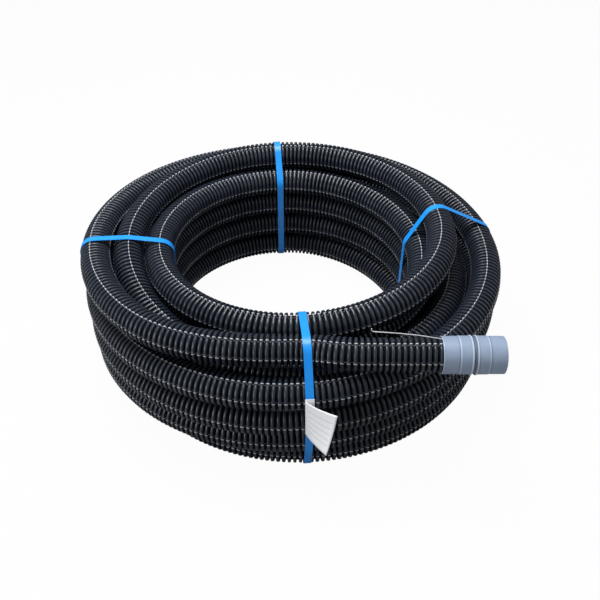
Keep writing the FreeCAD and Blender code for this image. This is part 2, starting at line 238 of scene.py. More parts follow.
def bumpInto(tree, shader, height, distance, strength):
    node = tree.nodes.new("ShaderNodeBump")
    node.inputs["Distance"].default_value = distance
    node.inputs["Strength"].default_value = strength
    link(tree, height, node.inputs["Height"])
    link(tree, node.outputs["Normal"], shader.inputs["Normal"])
    return node


# moulded plastic: fine grain, flow streaks and dust, shared by hose, coupling, straps, seal and wire
plasticLook = {
    "cloudScale": 38.0,
    "speckScale": 420.0,
    "dustFrom": 0.45,          # dust lies where the cloud is above this
    "dustGain": 3.2,
    "speckGain": 1.6,
    "bumpStrength": 0.6,
}
plasticGroup, gIn, gOut = newGroup("mouldedPlastic", [
    ("Base", "NodeSocketColor", (0.5, 0.5, 0.5, 1.0)),
    ("Dust", "NodeSocketColor", (0.5, 0.5, 0.5, 1.0)),
    ("Dust Amount", "NodeSocketFloat", 0.1),
    ("Roughness", "NodeSocketFloat", 0.4),
    ("Grain Scale", "NodeSocketFloat", 900.0),
    ("Variation", "NodeSocketFloat", 0.1)],
    [("Color", "NodeSocketColor"), ("Roughness", "NodeSocketFloat"), ("Height", "NodeSocketFloat")])
gCoord = objectCoord(plasticGroup)
gGrain = noiseNode(plasticGroup, gCoord, gIn.outputs["Grain Scale"], detail=4.0, roughness=0.6)
gCloud = noiseNode(plasticGroup, gCoord, plasticLook["cloudScale"], detail=4.0, roughness=0.6)
gSpeck = noiseNode(plasticGroup, gCoord, plasticLook["speckScale"], detail=2.0, roughness=0.5)
gPatch = mathNode(plasticGroup, "SUBTRACT", gCloud, plasticLook["dustFrom"], clamp=True)
gPatch = mathNode(plasticGroup, "MULTIPLY", gPatch, plasticLook["dustGain"], clamp=True)
gSpeck = mathNode(plasticGroup, "MULTIPLY", gSpeck, plasticLook["speckGain"], clamp=True)
gDust = mathNode(plasticGroup, "MULTIPLY", gPatch, gSpeck)
gDust = mathNode(plasticGroup, "MULTIPLY", gDust, gIn.outputs["Dust Amount"], clamp=True)
gColor = mixColor(plasticGroup, gDust, gIn.outputs["Base"], gIn.outputs["Dust"])
link(plasticGroup, gColor, gOut.inputs["Color"])
gShifts = [mathNode(plasticGroup, "MULTIPLY", mathNode(plasticGroup, "SUBTRACT", noise, 0.5),
                    gIn.outputs["Variation"]) for noise in (gGrain, gCloud)]
gShift = mathNode(plasticGroup, "ADD", *gShifts)
gRoughness = mathNode(plasticGroup, "ADD", gIn.outputs["Roughness"], gShift, clamp=True)
link(plasticGroup, gRoughness, gOut.inputs["Roughness"])
link(plasticGroup, gGrain, gOut.inputs["Height"])


def plasticMaterial(name, base, dust, dustAmount, roughness, grainScale, variation, bump):
    # the material, with its tree, shader, group and bump to build on
    material = bpy.data.materials.new(name)
    material.use_nodes = True
    tree = material.node_tree
    shader = tree.nodes["Principled BSDF"]
    group = tree.nodes.new("ShaderNodeGroup")
    group.node_tree = plasticGroup
    for label, value in (("Base", base), ("Dust", dust), ("Dust Amount", dustAmount), ("Roughness", roughness),
                         ("Grain Scale", grainScale), ("Variation", variation)):
        group.inputs[label].default_value = value
    bumpNode = bumpInto(tree, shader, group.outputs["Height"], bump, plasticLook["bumpStrength"])
    link(tree, group.outputs["Color"], shader.inputs["Base Color"])
    link(tree, group.outputs["Roughness"], shader.inputs["Roughness"])
    return material, tree, shader, group, bumpNode


hoseLook = {
    "black": srgb(37, 43, 55),
    # painted shade: the valleys between the ribs are coloured near black
    "valley": srgb(3, 4, 5),
    "valleyRough": 0.3,        # added to the roughness between the ribs
    "dust": srgb(60, 64, 72),
    # pale mould lines: partly the lines' own paler plastic, partly a painted highlight
    "seamPaleAndHighlight": srgb(214, 218, 226),
    "seamHighlightOnCrest": 0.85,         # shares of the pale line's colour on a crest and, next, in a valley: the lines' own paler plastic and a painted highlight that is brighter on a crest
    "seamHighlightInValley": 0.26,
    "seamBreakScale": 160.0,        # the pale lines with their painted highlight are broken up in places by noise
    "seamBreakGain": 1.3,
    "seamBreakLeast": 0.15,
    "gloss": 0.15,
    "coatFrom": 0.5,           # the coat starts where the crest mark is above this
    "crestCoat": 0.8,
    "coatRoughness": 0.3,
    "tint": (0.78, 0.87, 1.0, 1.0),
}
hoseMaterial, tree, shader, group, _ = plasticMaterial(
    "hosePlastic", hoseLook["black"], hoseLook["dust"], dustAmount=0.22, roughness=0.46,
    grainScale=1400.0, variation=0.16, bump=0.00004)
shader.inputs["Specular IOR Level"].default_value = hoseLook["gloss"]
shader.inputs["Specular Tint"].default_value = hoseLook["tint"]
shader.inputs["Coat Roughness"].default_value = hoseLook["coatRoughness"]
seamMark, crestMark = markNode(tree, "seamPaleAndHighlight"), markNode(tree, "crest")
# pale mould lines: their own paler plastic and a painted highlight, brighter on a crest than in a valley, broken up by
# noise
paleSeamAndHighlightShare = mathNode(tree, "MULTIPLY", crestMark, hoseLook["seamHighlightOnCrest"] - hoseLook["seamHighlightInValley"])
paleSeamAndHighlightShare = mathNode(tree, "ADD", paleSeamAndHighlightShare, hoseLook["seamHighlightInValley"])
paleSeamAndHighlightShare = mathNode(tree, "MULTIPLY", paleSeamAndHighlightShare, seamMark)
seamBreak = noiseNode(tree, objectCoord(tree), hoseLook["seamBreakScale"], detail=3.0, roughness=0.6)
seamBreak = mathNode(tree, "MULTIPLY", seamBreak, hoseLook["seamBreakGain"])
seamBreak = mathNode(tree, "ADD", seamBreak, hoseLook["seamBreakLeast"], clamp=True)
paleSeamAndHighlightShare = mathNode(tree, "MULTIPLY", paleSeamAndHighlightShare, seamBreak, clamp=True)
# painted shade: the colour goes from the crest's own colour to near black in the valleys, by the crest mark
ribShadedColor = mixColor(tree, crestMark, hoseLook["valley"], group.outputs["Color"])
link(tree, mixColor(tree, paleSeamAndHighlightShare, ribShadedColor, hoseLook["seamPaleAndHighlight"]), shader.inputs["Base Color"])
crestOnly = mathNode(tree, "SUBTRACT", crestMark, hoseLook["coatFrom"])
crestOnly = mathNode(tree, "MULTIPLY", crestOnly, 1 / (1 - hoseLook["coatFrom"]), clamp=True)
link(tree, mathNode(tree, "MULTIPLY", crestOnly, hoseLook["crestCoat"]), shader.inputs["Coat Weight"])
between = mathNode(tree, "SUBTRACT", 1.0, crestMark)
between = mathNode(tree, "MULTIPLY", between, hoseLook["valleyRough"])
link(tree, mathNode(tree, "ADD", group.outputs["Roughness"], between, clamp=True), shader.inputs["Roughness"])
hoseInside, *_ = plasticMaterial(
    "hoseInside", srgb(20, 21, 24), hoseLook["dust"], dustAmount=0.2, roughness=0.5,
    grainScale=1100.0, variation=0.1, bump=0.00004)
print("materials for the hose are ready")

# the hose's line
routeLine = splineLine(splineObject("hoseRoute", routePoints(), 8))
bpy.data.objects.remove(bpy.data.objects["hoseRoute"])
routeLength = sum((b - a).length for a, b in zip(routeLine, routeLine[1:]))
print("hose line: %d points, %.3f m" % (len(routeLine), routeLength))


# the hose's slow twist, in degrees at turns of the lay
hoseTwist = [(0.0, -76.0), (4.25, -76.0), (4.5, -65.0), (4.75, -76.0), (5.0, -70.0), (7.5, 0.0), (11.0, 0.0),
             (11.25, 12.0), (11.5, 4.0), (11.75, -9.0), (12.0, 0.0), (12.5, 0.0)]


def twistAlong(line):
    # turns are counted back from the free end
    turnNow, before, out = hoseLay[-1][0], 0.0, []
    for p in line:
        azimuth = math.atan2(p.x, -p.y) / (2 * math.pi)
        change = azimuth - before
        turnNow += change - round(change)
        before = azimuth
        for (t0, a0), (t1, a1) in zip(hoseTwist, hoseTwist[1:]):
            if t0 <= turnNow <= t1:
                out.append(math.radians(a0 + (a1 - a0) * (turnNow - t0) / (t1 - t0)))
                break
        else:
            out.append(math.radians(hoseTwist[0][1]))
    return out


# corrugated skin, by Geometry Nodes along the line
skinSizes = {
    "crestRadius": 0.025,
    "valleyRadius": 0.0203,
    "crestEdge": 0.0008,       # how far a crest's edge is rounded down
    "pitch": 0.00845,
    "crestShare": 0.56,        # shares of the pitch
    "roundShare": 0.11,
    "flankShare": 0.07,
    "edgeMark": 0.45,          # how much of a crest its edge counts as in the look, the rest of it taking the painted shade of the valleys
    "seamHeight": 0.0003,
    "seamWidth": 0.0018,
    "seamTop": 0.6,            # share of a mould line's width that is level
    "seamAngles": (-7.0, 83.0, 191.0, 263.0),   # from the inner side, under the hose and over its top
    "stations": 6,             # rings to a rib
    "perQuadrant": 8,          # points of the section from one mould line to the next
    "sections": 6,
}


def skinTree():
    s = skinSizes
    treeMade = bpy.data.node_groups.new("corrugatedSkin", "GeometryNodeTree")
    face = treeMade.interface
    face.new_socket(name="Line", in_out="INPUT", socket_type="NodeSocketGeometry")
    for label, kind, value in (("Start", "NodeSocketFloat", 0.0), ("Ribs", "NodeSocketInt", 10),
                               ("Pitch", "NodeSocketFloat", s["pitch"]),
                               ("Crest Radius", "NodeSocketFloat", s["crestRadius"]),
                               ("Valley Radius", "NodeSocketFloat", s["valleyRadius"]),
                               ("Crest Edge", "NodeSocketFloat", s["crestEdge"]),
                               ("Crest Share", "NodeSocketFloat", s["crestShare"]),
                               ("Flank Share", "NodeSocketFloat", s["flankShare"]),
                               ("Seam Height", "NodeSocketFloat", s["seamHeight"]),
                               ("Seam Width", "NodeSocketFloat", s["seamWidth"])):
        face.new_socket(name=label, in_out="INPUT", socket_type=kind).default_value = value
    face.new_socket(name="Material", in_out="INPUT", socket_type="NodeSocketMaterial")
    face.new_socket(name="Skin", in_out="OUTPUT", socket_type="NodeSocketGeometry")
    nodes, links = treeMade.nodes, treeMade.links
    given = nodes.new("NodeGroupInput").outputs
    out = nodes.new("NodeGroupOutput")

    def m(operation, a, b=None):
        return mathNode(treeMade, operation, a, b)

    def pick(index, values):
        node = nodes.new("GeometryNodeIndexSwitch")
        node.data_type = "FLOAT"
        while len(node.index_switch_items) < len(values):
            node.index_switch_items.new()
        links.new(index, node.inputs["Index"])
        for socket, value in zip(node.inputs[1:], values):
            feed(treeMade, socket, value)
        return node.outputs[0]

    def store(geometry, name, value):
        node = nodes.new("GeometryNodeStoreNamedAttribute")
        node.data_type = "FLOAT"
        node.domain = "POINT"
        node.inputs["Name"].default_value = name
        links.new(geometry, node.inputs["Geometry"])
        links.new(value, node.inputs["Value"])
        return node.outputs["Geometry"]

    def read(name):
        node = nodes.new("GeometryNodeInputNamedAttribute")
        node.data_type = "FLOAT"
        node.inputs["Name"].default_value = name
        return node.outputs["Attribute"]

    def toCurve(geometry):
        node = nodes.new("GeometryNodeMeshToCurve")
        links.new(geometry, node.inputs["Mesh"])
        return node.outputs["Curve"]

    index = nodes.new("GeometryNodeInputIndex").outputs[0]

    # rings along the line: a rounded crest, then a level valley between two flanks
    stations = s["stations"]
    station = m("MODULO", index, stations)
    rib = m("FLOOR", m("DIVIDE", m("ADD", index, 0.5), stations))
    pitch = given["Pitch"]
    crest, flank = m("MULTIPLY", given["Crest Share"], pitch), m("MULTIPLY", given["Flank Share"], pitch)
    rounding = m("MULTIPLY", pitch, s["roundShare"])
    offset = pick(station, [0.0, rounding, m("SUBTRACT", crest, rounding), crest,
                            m("ADD", crest, flank), m("SUBTRACT", pitch, flank)])
    crestRadius, valleyRadius = given["Crest Radius"], given["Valley Radius"]
    edgeRadius = m("SUBTRACT", crestRadius, given["Crest Edge"])
    ringRadius = pick(station, [edgeRadius, crestRadius, crestRadius, edgeRadius, valleyRadius, valleyRadius])
    # crest mark: 1 on a crest and 0 in a valley, it sets the painted shade between the ribs and the crests' coat
    ringMark = pick(station, [s["edgeMark"], 1.0, 1.0, s["edgeMark"], 0.0, 0.0])
    place = m("ADD", given["Start"], m("ADD", m("MULTIPLY", rib, pitch), offset))
    rings = nodes.new("GeometryNodeMeshLine")
    links.new(m("ADD", m("MULTIPLY", given["Ribs"], stations), 1), rings.inputs["Count"])
    sample = nodes.new("GeometryNodeSampleCurve")
    sample.mode = "LENGTH"
    links.new(read("twist"), sample.inputs["Value"])
    links.new(toCurve(given["Line"]), sample.inputs["Curves"])
    links.new(place, sample.inputs["Length"])
    move = nodes.new("GeometryNodeSetPosition")
    links.new(rings.outputs["Mesh"], move.inputs["Geometry"])
    links.new(sample.outputs["Position"], move.inputs["Position"])
    ringLine = store(store(move.outputs["Geometry"], "ringRadius", ringRadius), "crest", ringMark)
    ringLine = store(ringLine, "ringTwist", sample.outputs["Value"])
    level = nodes.new("GeometryNodeSetCurveNormal")
    level.mode = "Z_UP"
    links.new(toCurve(ringLine), level.inputs["Curve"])
    twisted = nodes.new("GeometryNodeSetCurveTilt")
    links.new(level.outputs["Curve"], twisted.inputs["Curve"])
    links.new(read("ringTwist"), twisted.inputs["Tilt"])

    # section: four raised mould lines, each of four points, with plain arcs between them
    perQuadrant = s["perQuadrant"]
    quadrant = m("FLOOR", m("DIVIDE", m("ADD", index, 0.5), perQuadrant))
    inQuadrant = m("MODULO", index, perQuadrant)
    angles = [math.radians(a) for a in s["seamAngles"]]
    here = pick(quadrant, angles)
    span = m("SUBTRACT", pick(quadrant, angles[1:] + [angles[0] + 2 * math.pi]), here)
    foot = m("DIVIDE", m("MULTIPLY", given["Seam Width"], 0.5), crestRadius)
    top = m("MULTIPLY", foot, s["seamTop"])
    onArc = perQuadrant - 4
    turnBy = pick(inQuadrant, [m("MULTIPLY", foot, -1.0), m("MULTIPLY", top, -1.0), top, foot]
                  + [m("MULTIPLY", span, (k + 1) / (onArc + 1)) for k in range(onArc)])
    angle = m("ADD", here, turnBy)
    raised = pick(inQuadrant, [0.0, 1.0, 1.0, 0.0] + [0.0] * onArc)
    reach = m("ADD", 1.0, m("MULTIPLY", raised, m("DIVIDE", given["Seam Height"], crestRadius)))
    section = nodes.new("GeometryNodeMeshCircle")
    section.inputs["Vertices"].default_value = perQuadrant * len(angles)
    where = nodes.new("ShaderNodeCombineXYZ")
    links.new(m("MULTIPLY", reach, m("COSINE", angle)), where.inputs["X"])
    links.new(m("MULTIPLY", reach, m("SINE", angle)), where.inputs["Y"])
    moveSection = nodes.new("GeometryNodeSetPosition")
    links.new(section.outputs["Mesh"], moveSection.inputs["Geometry"])
    links.new(where.outputs[0], moveSection.inputs["Position"])
    # the raised lines are marked for their pale colour and painted highlight
    profile = toCurve(store(moveSection.outputs["Geometry"], "seamPaleAndHighlight", raised))

    sweep = nodes.new("GeometryNodeCurveToMesh")
    links.new(twisted.outputs["Curve"], sweep.inputs["Curve"])
    links.new(profile, sweep.inputs["Profile Curve"])
    links.new(read("ringRadius"), sweep.inputs["Scale"])
    shade = nodes.new("GeometryNodeSetShadeSmooth")
    links.new(sweep.outputs["Mesh"], shade.inputs[0])
    real = nodes.new("GeometryNodeRealizeInstances")
    links.new(shade.outputs[0], real.inputs[0])
    paint = nodes.new("GeometryNodeSetMaterial")
    links.new(real.outputs[0], paint.inputs["Geometry"])
    links.new(given["Material"], paint.inputs["Material"])
    links.new(paint.outputs[0], out.inputs[0])
    return treeMade


def runNodes(source, treeUsed, values, name):
    # the modifier's result as a plain mesh of its own
    modifier = source.modifiers.new("form", "NODES")
    modifier.node_group = treeUsed
    for item in treeUsed.interface.items_tree:
        if item.item_type == "SOCKET" and item.in_out == "INPUT" and item.name in values:
            modifier[item.identifier] = values[item.name]
    graph = bpy.context.evaluated_depsgraph_get()
    mesh = bpy.data.meshes.new_from_object(
        source.evaluated_get(graph), preserve_all_data_layers=True, depsgraph=graph)
    source.modifiers.remove(modifier)
    return linkMesh(name, mesh)


lineMesh = bpy.data.meshes.new("hoseLine")
lineMesh.from_pydata([tuple(p) for p in routeLine], [(i, i + 1) for i in range(len(routeLine) - 1)], [])
twistData = lineMesh.attributes.new("twist", "FLOAT", "POINT")
twistData.data.foreach_set("value", twistAlong(routeLine))
lineObject = linkMesh("hoseLine", lineMesh)
skinForm = skinTree()
ribTotal = int(routeLength / skinSizes["pitch"])
perSection = math.ceil(ribTotal / skinSizes["sections"])
skinPieces = []
for number in range(skinSizes["sections"]):
    ribs = min(perSection, ribTotal - number * perSection)
    piece = runNodes(lineObject, skinForm, {
        "Start": number * perSection * skinSizes["pitch"], "Ribs": ribs, "Material": hoseMaterial},
        "hoseSkin_%d" % (number + 1))
    skinPieces.append(piece)
bpy.data.objects.remove(lineObject)
triangles = sum(len(piece.data.polygons) * 2 for piece in skinPieces)
print("hose skin: %d ribs, %d triangles in all" % (ribTotal, triangles))


# inner wall of the hose, a tube with a real wall
liner = {"outer": 0.0199, "inner": 0.0193, "sides": 18, "every": 2}


def frames(line):
    # place, outward and up at each point, kept level
    out = []
    for i, p in enumerate(line):
        way = (line[min(i + 1, len(line) - 1)] - line[max(i - 1, 0)]).normalized()
        side = way.cross(Vector((0, 0, 1))).normalized()
        out.append((p, side, side.cross(way)))
    return out


def onRing(centre, side, up, radius, k, sides):
    a = 2 * math.pi * k / sides
    return centre + side * (radius * math.cos(a)) + up * (radius * math.sin(a))


def closedMesh(name, vertices, faces, sharp):
    # every face turned outward, and edges sharper than the given degrees kept
    mesh = bpy.data.meshes.new(name)
    mesh.from_pydata([tuple(v) for v in vertices], [], faces)
    fixed = bmesh.new()
    fixed.from_mesh(mesh)
    bmesh.ops.recalc_face_normals(fixed, faces=fixed.faces)
    fixed.to_mesh(mesh)
    fixed.free()
    smooth(mesh, sharp)
    return mesh


def tubeMesh(name, line, outer, inner, sides):
    rings = frames(line)
    vertices = [onRing(p, side, up, radius, k, sides)
                for radius in (outer, inner) for p, side, up in rings for k in range(sides)]
    faces = []
    inside = len(rings) * sides
    for i in range(len(rings) - 1):
        for k in range(sides):
            a, b = i * sides + k, i * sides + (k + 1) % sides
            faces.append((a, b, b + sides, a + sides))
            faces.append((inside + b, inside + a, inside + a + sides, inside + b + sides))
    last = (len(rings) - 1) * sides
    for k in range(sides):
        n = (k + 1) % sides
        faces.append((n, k, inside + k, inside + n))
        faces.append((last + k, last + n, inside + last + n, inside + last + k))
    return closedMesh(name, vertices, faces, 40)


def turnedMesh(name, profile, place, way, side, up, sides, sharp):
    # a closed profile of depths and radii, turned about the line that leaves place along way
    vertices, faces = [], []
    n = len(profile)
    for k in range(sides):
        following = (k + 1) % sides
        for j, (depth, radius) in enumerate(profile):
            after = (j + 1) % n
            vertices.append(onRing(place + way * depth, side, up, radius, k, sides))
            faces.append((k * n + j, k * n + after, following * n + after, following * n + j))
    return closedMesh(name, vertices, faces, sharp)


linerLine = routeLine[::liner["every"]] + ([] if len(routeLine) % liner["every"] == 1 else [routeLine[-1]])
hoseTube = linkMesh("hoseTube", tubeMesh("hoseTube", linerLine, liner["outer"], liner["inner"], liner["sides"]))
hoseTube.data.materials.append(hoseInside)


# cut faces at both ends, from the bore to the crest
endSizes = {"outer": 0.0249, "inner": 0.0193, "thick": 0.0012, "chamfer": 0.0004, "sides": 48}


def endRing(name, place, following):
    e = endSizes
    way = (following - place).normalized()
    side = way.cross(Vector((0, 0, 1))).normalized()
    profile = [(0.0, e["inner"]), (0.0, e["outer"] - e["chamfer"]), (e["chamfer"], e["outer"]),
               (e["thick"], e["outer"]), (e["thick"], e["inner"])]
    made = linkMesh(name, turnedMesh(name, profile, place, way, side, side.cross(way), e["sides"], 35))
    made.data.materials.append(hoseInside)
    return made


endRings = [endRing("hoseEndInSocket", routeLine[0], routeLine[1]),
            endRing("hoseEndInEye", routeLine[-1], routeLine[-2])]
for piece in [hoseTube] + skinPieces + endRings:
    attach(piece, "coil")
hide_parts("hose_coil", "hose_free_end")
print("hose is placed")


# coupling: a turned double socket, rounded at its edges
couplingSizes = {
    "rimX": 0.2155, "length": 0.089, "axisY": -0.310, "axisZ": 0.2325,
    "bore": 0.0253, "boreRound": 0.0004, "body": 0.0271, "band": 0.0276, "bandFrom": 0.0231,
    "lip": 0.0287, "lipWidth": 0.0022, "grooveWidth": 0.0052, "grooveRadius": 0.0263,
    "stop": 0.0221, "stopWidth": 0.003, "stopRound": 0.0003, "chamfer": 0.0011, "sides": 96,
    # strengths of the painted highlight on edges and the painted shade in corners
    "edgeHighlight": 0.5, "cornerShade": 0.55,
}
# steps along X and in radius, in metres, with how far an edge gets a painted highlight or a corner, below 0, a painted
# shade
couplingEdges = {
    "rim": ((0.0, -0.0006, 0.5), (0.0002, -0.0002, 0.8), (0.0006, 0.0, 0.4), (0.0014, 0.0, 0.0)),
    "bandFoot": ((-0.0022, 0.0, 0.0), (-0.0009, 0.0, -0.7), (0.0, 0.0, -0.7)),
    "bandTop": ((0.0002, -0.0001, 0.9), (0.0012, 0.0, 0.9), (0.0024, 0.0, 0.0)),
    "lipFoot": ((-0.0020, 0.0, 0.0), (-0.0004, 0.0, -0.3)),
    "lipRise": ((0.0, -0.0005, 0.6), (0.0004, 0.0, 1.0)),
    "lipFall": ((-0.0004, 0.0, 1.0), (0.0, -0.0004, 0.5)),
    "groove": ((0.0, 0.0003, -1.0), (0.0004, 0.0, -1.0)),
}


def couplingProfile():
    # place along X, radius and painted edge highlight or corner shade
    c = couplingSizes
    middle = c["length"] / 2
    lipTo = middle - c["grooveWidth"] / 2
    lipFrom = lipTo - c["lipWidth"]
    half = [(0.0, c["bore"] + c["boreRound"], 0.0)]
    for edge, x, radius in (("rim", 0.0, c["body"]), ("bandFoot", c["bandFrom"], c["body"]),
                            ("bandTop", c["bandFrom"], c["band"]), ("lipFoot", lipFrom, c["band"]),
                            ("lipRise", lipFrom, c["lip"]), ("lipFall", lipTo, c["lip"]),
                            ("groove", lipTo, c["grooveRadius"])):
        half += [(x + along, radius + out, edgeHighlightAndShade) for along, out, edgeHighlightAndShade in couplingEdges[edge]]
    stopFrom = middle - c["stopWidth"] / 2
    inside = [(c["chamfer"], c["bore"], 0.0), (stopFrom, c["bore"], 0.0),
              (stopFrom, c["stop"] + c["stopRound"], 0.0), (stopFrom + c["stopRound"], c["stop"], 0.0)]

    def mirrored(points):
        return [(c["length"] - x, radius, edgeHighlightAndShade) for x, radius, edgeHighlightAndShade in points]

    return half + mirrored(half[::-1]) + mirrored(inside) + inside[::-1]


couplingMaterial, tree, shader, group, _ = plasticMaterial(
    "couplingPlastic", srgb(139, 156, 181), srgb(176, 188, 202), dustAmount=0.25, roughness=0.36,
    grainScale=900.0, variation=0.14, bump=0.00005)
# painted highlights on the coupling's edges and painted shade in its corners and groove, by the edge mark
edgeHighlightAndShadeMark = markNode(tree, "edgeHighlightAndShade")
highlightShare = mathNode(tree, "MULTIPLY", edgeHighlightAndShadeMark, couplingSizes["edgeHighlight"], clamp=True)
shadeShare = mathNode(tree, "MULTIPLY", edgeHighlightAndShadeMark, -couplingSizes["cornerShade"], clamp=True)
edgeHighlightColor = mixColor(tree, highlightShare, group.outputs["Color"], srgb(214, 226, 240))
link(tree, mixColor(tree, shadeShare, edgeHighlightColor, srgb(52, 62, 78)), shader.inputs["Base Color"])
couplingPoints = couplingProfile()
couplingRim = Vector((couplingSizes["rimX"], couplingSizes["axisY"], couplingSizes["axisZ"]))
couplingPiece = linkMesh("coupling", turnedMesh(
    "coupling", [(x, radius) for x, radius, edgeHighlightAndShade in couplingPoints], couplingRim,
    Vector((1, 0, 0)), Vector((0, 1, 0)), Vector((0, 0, 1)), couplingSizes["sides"], 32))
# the edge mark for the painted highlight and shade, one value to each profile point
edgeHighlightAndShadeData = couplingPiece.data.attributes.new("edgeHighlightAndShade", "FLOAT", "POINT")
edgeHighlightAndShadeData.data.foreach_set("value", [edgeHighlightAndShade for x, radius, edgeHighlightAndShade in couplingPoints] * couplingSizes["sides"])
couplingPiece.data.materials.append(couplingMaterial)
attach(couplingPiece, "coupling")
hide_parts("coupling_sleeve")
print("coupling is turned")


# straps: plastic tape with a pressed grain
strapLook = {"cellScale": 620.0, "cellRandomness": 0.25, "cellDepth": 1.2, "grainDepth": 0.3, "bump": 0.00012}
strapMaterial, tree, shader, group, bumpNode = plasticMaterial(
    "strapTape", srgb(24, 146, 242), srgb(120, 195, 248), dustAmount=0.08, roughness=0.34,
    grainScale=1500.0, variation=0.12, bump=strapLook["bump"])
cells = tree.nodes.new("ShaderNodeTexVoronoi")
cells.inputs["Scale"].default_value = strapLook["cellScale"]
cells.inputs["Randomness"].default_value = strapLook["cellRandomness"]
link(tree, objectCoord(tree), cells.inputs["Vector"])
pressed = mathNode(tree, "MULTIPLY", cells.outputs["Distance"], strapLook["cellDepth"])
grain = mathNode(tree, "MULTIPLY", group.outputs["Height"], strapLook["grainDepth"])
link(tree, mathNode(tree, "ADD", pressed, grain), bumpNode.inputs["Height"])
sealMaterial, *_ = plasticMaterial(
    "sealRubber", srgb(16, 16, 17), srgb(50, 50, 52), dustAmount=0.15, roughness=0.62,
    grainScale=700.0, variation=0.08, bump=0.00006)
for name, material in (("strap_front", strapMaterial), ("strap_right", strapMaterial),
                       ("strap_back", strapMaterial), ("strap_left", strapMaterial),
                       ("seal_ring", sealMaterial)):
    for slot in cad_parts[name].material_slots:
        slot.material = material
print("straps and seal have their looks")


# label: a paper flag, folded round the front strap, a little twisted
labelSizes = {
    "hinge": (0.023796, -0.363454, 0.121091), "up": (-0.0041, 0.04884, 0.9988),
    "azimuth": 4.8, "width": 0.052, "height": 0.066, "edgeHeight": 0.0636, "rise": 0.0025, "edgeRise": 0.0050,
    "thickness": 0.0003, "angleTop": 37.0, "angleBottom": 61.0, "pressed": 0.2,
    "bow": 0.0022, "bowBottom": 0.6,             # the bow at the bottom, as a share of the top's
    "columns": 18, "rows": 20,
}


def paperPiece(name, mesh, thickness):
    made = linkMesh(name, mesh)
    wall = made.modifiers.new("paper", "SOLIDIFY")
    wall.thickness = thickness
    wall.offset = 0.0
    return made


def gridFaces(rows, columns):
    w = columns + 1
    return [(j * w + i, j * w + i + 1, (j + 1) * w + i + 1, (j + 1) * w + i)
            for j in range(rows) for i in range(columns)]


def labelFlag():
    z = labelSizes
    a = math.radians(z["azimuth"])
    along = Vector((math.cos(a), math.sin(a), 0))
    up = Vector(z["up"]).normalized()
    out = along.cross(up).normalized()           # away from the coil
    mesh = bpy.data.meshes.new("labelFlag")
    vertices, uvs = [], []
    for j in range(z["rows"] + 1):
        v = j / z["rows"]
        angle = math.radians(z["angleBottom"] + (z["angleTop"] - z["angleBottom"]) * v)
        way = along * math.cos(angle) + out * math.sin(angle)
        side = out * math.cos(angle) - along * math.sin(angle)
        for i in range(z["columns"] + 1):
            u = i / z["columns"]
            # springs off the fold, then bends back a little at its free edge
            bend = z["bow"] * math.sin(math.pi * u) * (z["bowBottom"] + (1 - z["bowBottom"]) * v)
            tall = z["height"] + (z["edgeHeight"] - z["height"]) * u
            high = z["rise"] + (z["edgeRise"] - z["rise"]) * u + v * tall
            vertices.append(tuple(Vector(z["hinge"]) + up * high + way * (u * z["width"]) + side * bend))
            uvs.append((u, v))
    mesh.from_pydata(vertices, [], gridFaces(z["rows"], z["columns"]))
    layer = mesh.uv_layers.new(name="sheet")
    for loop in mesh.loops:
        layer.data[loop.index].uv = uvs[loop.vertex_index]
    smooth(mesh)
    return paperPiece("labelFlag", mesh, z["thickness"])


# plain ruled lines, as on an unused tag, inside margins given as shares of the sheet
paperLook = {
    "white": srgb(246, 248, 252), "fibreTone": srgb(224, 228, 235), "fibreShare": 0.25, "fibreScale": 900.0,
    "creaseScale": 55.0, "rule": srgb(96, 104, 120), "ruleShare": 0.4, "rules": 7.0, "ruleWidth": 0.055,
    "left": 0.12, "right": 0.92, "bottom": 0.08, "top": 0.86,
    "roughness": 0.45, "roughGain": 0.2, "bump": 0.0003, "bumpStrength": 0.35, "fibreHeight": 0.1,
}
paperMaterial = bpy.data.materials.new("labelPaper")
paperMaterial.use_nodes = True
tree = paperMaterial.node_tree
shader = tree.nodes["Principled BSDF"]
sheetUv = tree.nodes.new("ShaderNodeUVMap")
sheetUv.uv_map = "sheet"
sheet = tree.nodes.new("ShaderNodeSeparateXYZ")
link(tree, sheetUv.outputs[0], sheet.inputs[0])
paperCoord = objectCoord(tree)
fibre = noiseNode(tree, paperCoord, paperLook["fibreScale"], detail=4.0, roughness=0.65)
crease = noiseNode(tree, paperCoord, paperLook["creaseScale"], detail=2.0, roughness=0.5)
ruled = mathNode(tree, "FRACT", mathNode(tree, "MULTIPLY", sheet.outputs["Y"], paperLook["rules"]))
ruled = mathNode(tree, "ABSOLUTE", mathNode(tree, "SUBTRACT", ruled, 0.5))
ruled = mathNode(tree, "LESS_THAN", ruled, paperLook["ruleWidth"])
for operation, across, edge in (("GREATER_THAN", "X", "left"), ("LESS_THAN", "X", "right"),
                                ("LESS_THAN", "Y", "top"), ("GREATER_THAN", "Y", "bottom")):
    withinEdge = mathNode(tree, operation, sheet.outputs[across], paperLook[edge])
    ruled = mathNode(tree, "MULTIPLY", ruled, withinEdge)
ruled = mathNode(tree, "MULTIPLY", ruled, paperLook["ruleShare"])
fibreShare = mathNode(tree, "MULTIPLY", fibre, paperLook["fibreShare"])
paperColor = mixColor(tree, fibreShare, paperLook["white"], paperLook["fibreTone"])
link(tree, mixColor(tree, ruled, paperColor, paperLook["rule"]), shader.inputs["Base Color"])
paperRough = mathNode(tree, "MULTIPLY", fibre, paperLook["roughGain"])
link(tree, mathNode(tree, "ADD", paperRough, paperLook["roughness"]), shader.inputs["Roughness"])
paperHeight = mathNode(tree, "ADD", crease, mathNode(tree, "MULTIPLY", fibre, paperLook["fibreHeight"]))
bumpInto(tree, shader, paperHeight, paperLook["bump"], paperLook["bumpStrength"])
flag = labelFlag()
flag.data.materials.append(paperMaterial)
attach(flag, "label")
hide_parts("label_flag")
